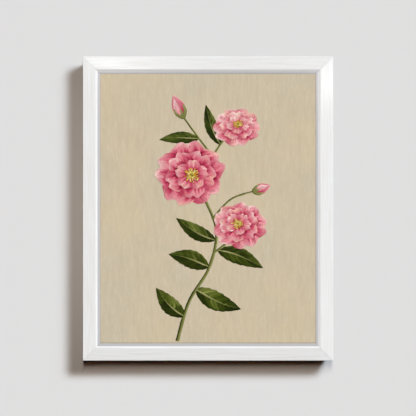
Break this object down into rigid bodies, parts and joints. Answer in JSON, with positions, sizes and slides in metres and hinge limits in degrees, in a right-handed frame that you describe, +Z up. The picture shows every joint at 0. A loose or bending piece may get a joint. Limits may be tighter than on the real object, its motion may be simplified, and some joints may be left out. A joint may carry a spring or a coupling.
{
  "type": "framed canvas picture",
  "caption": "Upright canvas picture of a blossom spray, stretched on bars and set in a white stepped float frame with a rear hanger.",
  "frame": {"origin": "where the wall nail bears in the middle notch of the sawtooth hanger, on the plane of the wall", "axes": "+Z up the wall, +Y from the picture into the wall, so that the picture faces -Y; +X to the right as the picture is seen"},
  "size_m": [0.4724, 0.0327, 0.574],
  "materials": {
    "white_lacquer": "white satin lacquer on wood, with fine lines along each rail",
    "pine": "planed, unfinished",
    "beech": "planed, unfinished",
    "canvas_cloth": "matt beige ground over woven cotton",
    "zinc_steel": "bright zinc plate",
    "brassed_steel": "satin brass plate",
    "grey_rubber": "matt",
    "leaf_paint": "brushed green artists' paint, slightly raised",
    "petal_paint": "brushed pink artists' paint, slightly raised",
    "stamen_paint": "dabbed yellow artists' paint",
    "bud_paint": "brushed deep pink artists' paint"
  },
  "bodies": {
    "root": {"canvas": "canvas_cloth", "corner_key_bottom_a": "beech", "corner_key_bottom_b": "beech", "corner_key_left_a": "beech", "corner_key_left_b": "beech", "corner_key_right_a": "beech", "corner_key_right_b": "beech", "corner_key_top_a": "beech", "corner_key_top_b": "beech", "hanger_tack_a": "brassed_steel", "hanger_tack_b": "brassed_steel", "ledge_screw_bottom_a": "zinc_steel", "ledge_screw_bottom_b": "zinc_steel", "ledge_screw_left_a": "zinc_steel", "ledge_screw_left_b": "zinc_steel", "ledge_screw_right_a": "zinc_steel", "ledge_screw_right_b": "zinc_steel", "ledge_screw_top_a": "zinc_steel", "ledge_screw_top_b": "zinc_steel", "mitre_nail_bottom_1": "zinc_steel", "mitre_nail_bottom_2": "zinc_steel", "mitre_nail_left_1": "zinc_steel", "mitre_nail_left_2": "zinc_steel", "mitre_nail_right_1": "zinc_steel", "mitre_nail_right_2": "zinc_steel", "mitre_nail_top_1": "zinc_steel", "mitre_nail_top_2": "zinc_steel", "paint_blossom_lower": "petal_paint", "paint_blossom_middle": "petal_paint", "paint_blossom_upper": "petal_paint", "paint_bud_left": "bud_paint", "paint_bud_right": "bud_paint", "paint_foliage": "leaf_paint", "paint_stamens_lower": "stamen_paint", "paint_stamens_middle": "stamen_paint", "paint_stamens_upper": "stamen_paint", "rail_bottom": "white_lacquer", "rail_left": "white_lacquer", "rail_right": "white_lacquer", "rail_top": "white_lacquer", "sawtooth_hanger": "brassed_steel", "staple_bottom_1": "zinc_steel", "staple_bottom_2": "zinc_steel", "staple_bottom_3": "zinc_steel", "staple_left_1": "zinc_steel", "staple_left_2": "zinc_steel", "staple_left_3": "zinc_steel", "staple_right_1": "zinc_steel", "staple_right_2": "zinc_steel", "staple_right_3": "zinc_steel", "staple_top_1": "zinc_steel", "staple_top_2": "zinc_steel", "staple_top_3": "zinc_steel", "stretcher_bar_bottom": "pine", "stretcher_bar_left": "pine", "stretcher_bar_right": "pine", "stretcher_bar_top": "pine", "wall_pad_a": "grey_rubber", "wall_pad_b": "grey_rubber"}
  },
  "joints": []
}
